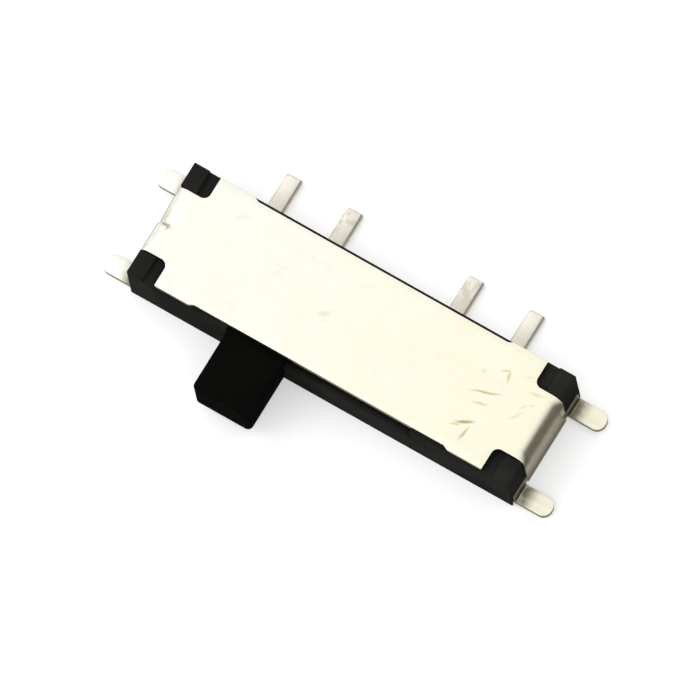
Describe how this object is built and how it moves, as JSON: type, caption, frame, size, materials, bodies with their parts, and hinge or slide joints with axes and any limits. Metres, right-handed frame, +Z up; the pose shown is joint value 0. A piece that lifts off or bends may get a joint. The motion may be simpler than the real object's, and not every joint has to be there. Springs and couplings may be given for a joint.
{
  "type": "slide switch",
  "caption": "Low side-actuated slide switch for surface mounting: black housing, folded metal cover with solder legs, rear terminals and a sliding knob.",
  "frame": {"origin": "middle of the housing's underside, on the plane of the board", "axes": "+X along the switch, +Y out of the terminal side, -Y out of the knob side, +Z up from the board"},
  "size_m": [0.011, 0.0054, 0.0015],
  "materials": {
    "housing_plastic": "satin black moulding",
    "slider_plastic": "satin black moulding",
    "cover_metal": "bright tinned sheet",
    "terminal_metal": "silver plated brass",
    "contact_bronze": "silver plated bronze"
  },
  "bodies": {
    "housing": {"housing": "housing_plastic", "cover": "cover_metal", "terminal_throw_1": "terminal_metal", "terminal_common": "terminal_metal", "terminal_throw_2": "terminal_metal", "terminal_throw_3": "terminal_metal"},
    "slider": {"slider": "slider_plastic", "moving_contact": "contact_bronze"}
  },
  "joints": [
    {"name": "slider_slide", "type": "slide", "parent": "housing", "child": "slider", "axis": [1, 0, 0], "range_m": [0, 0.0031]}
  ]
}
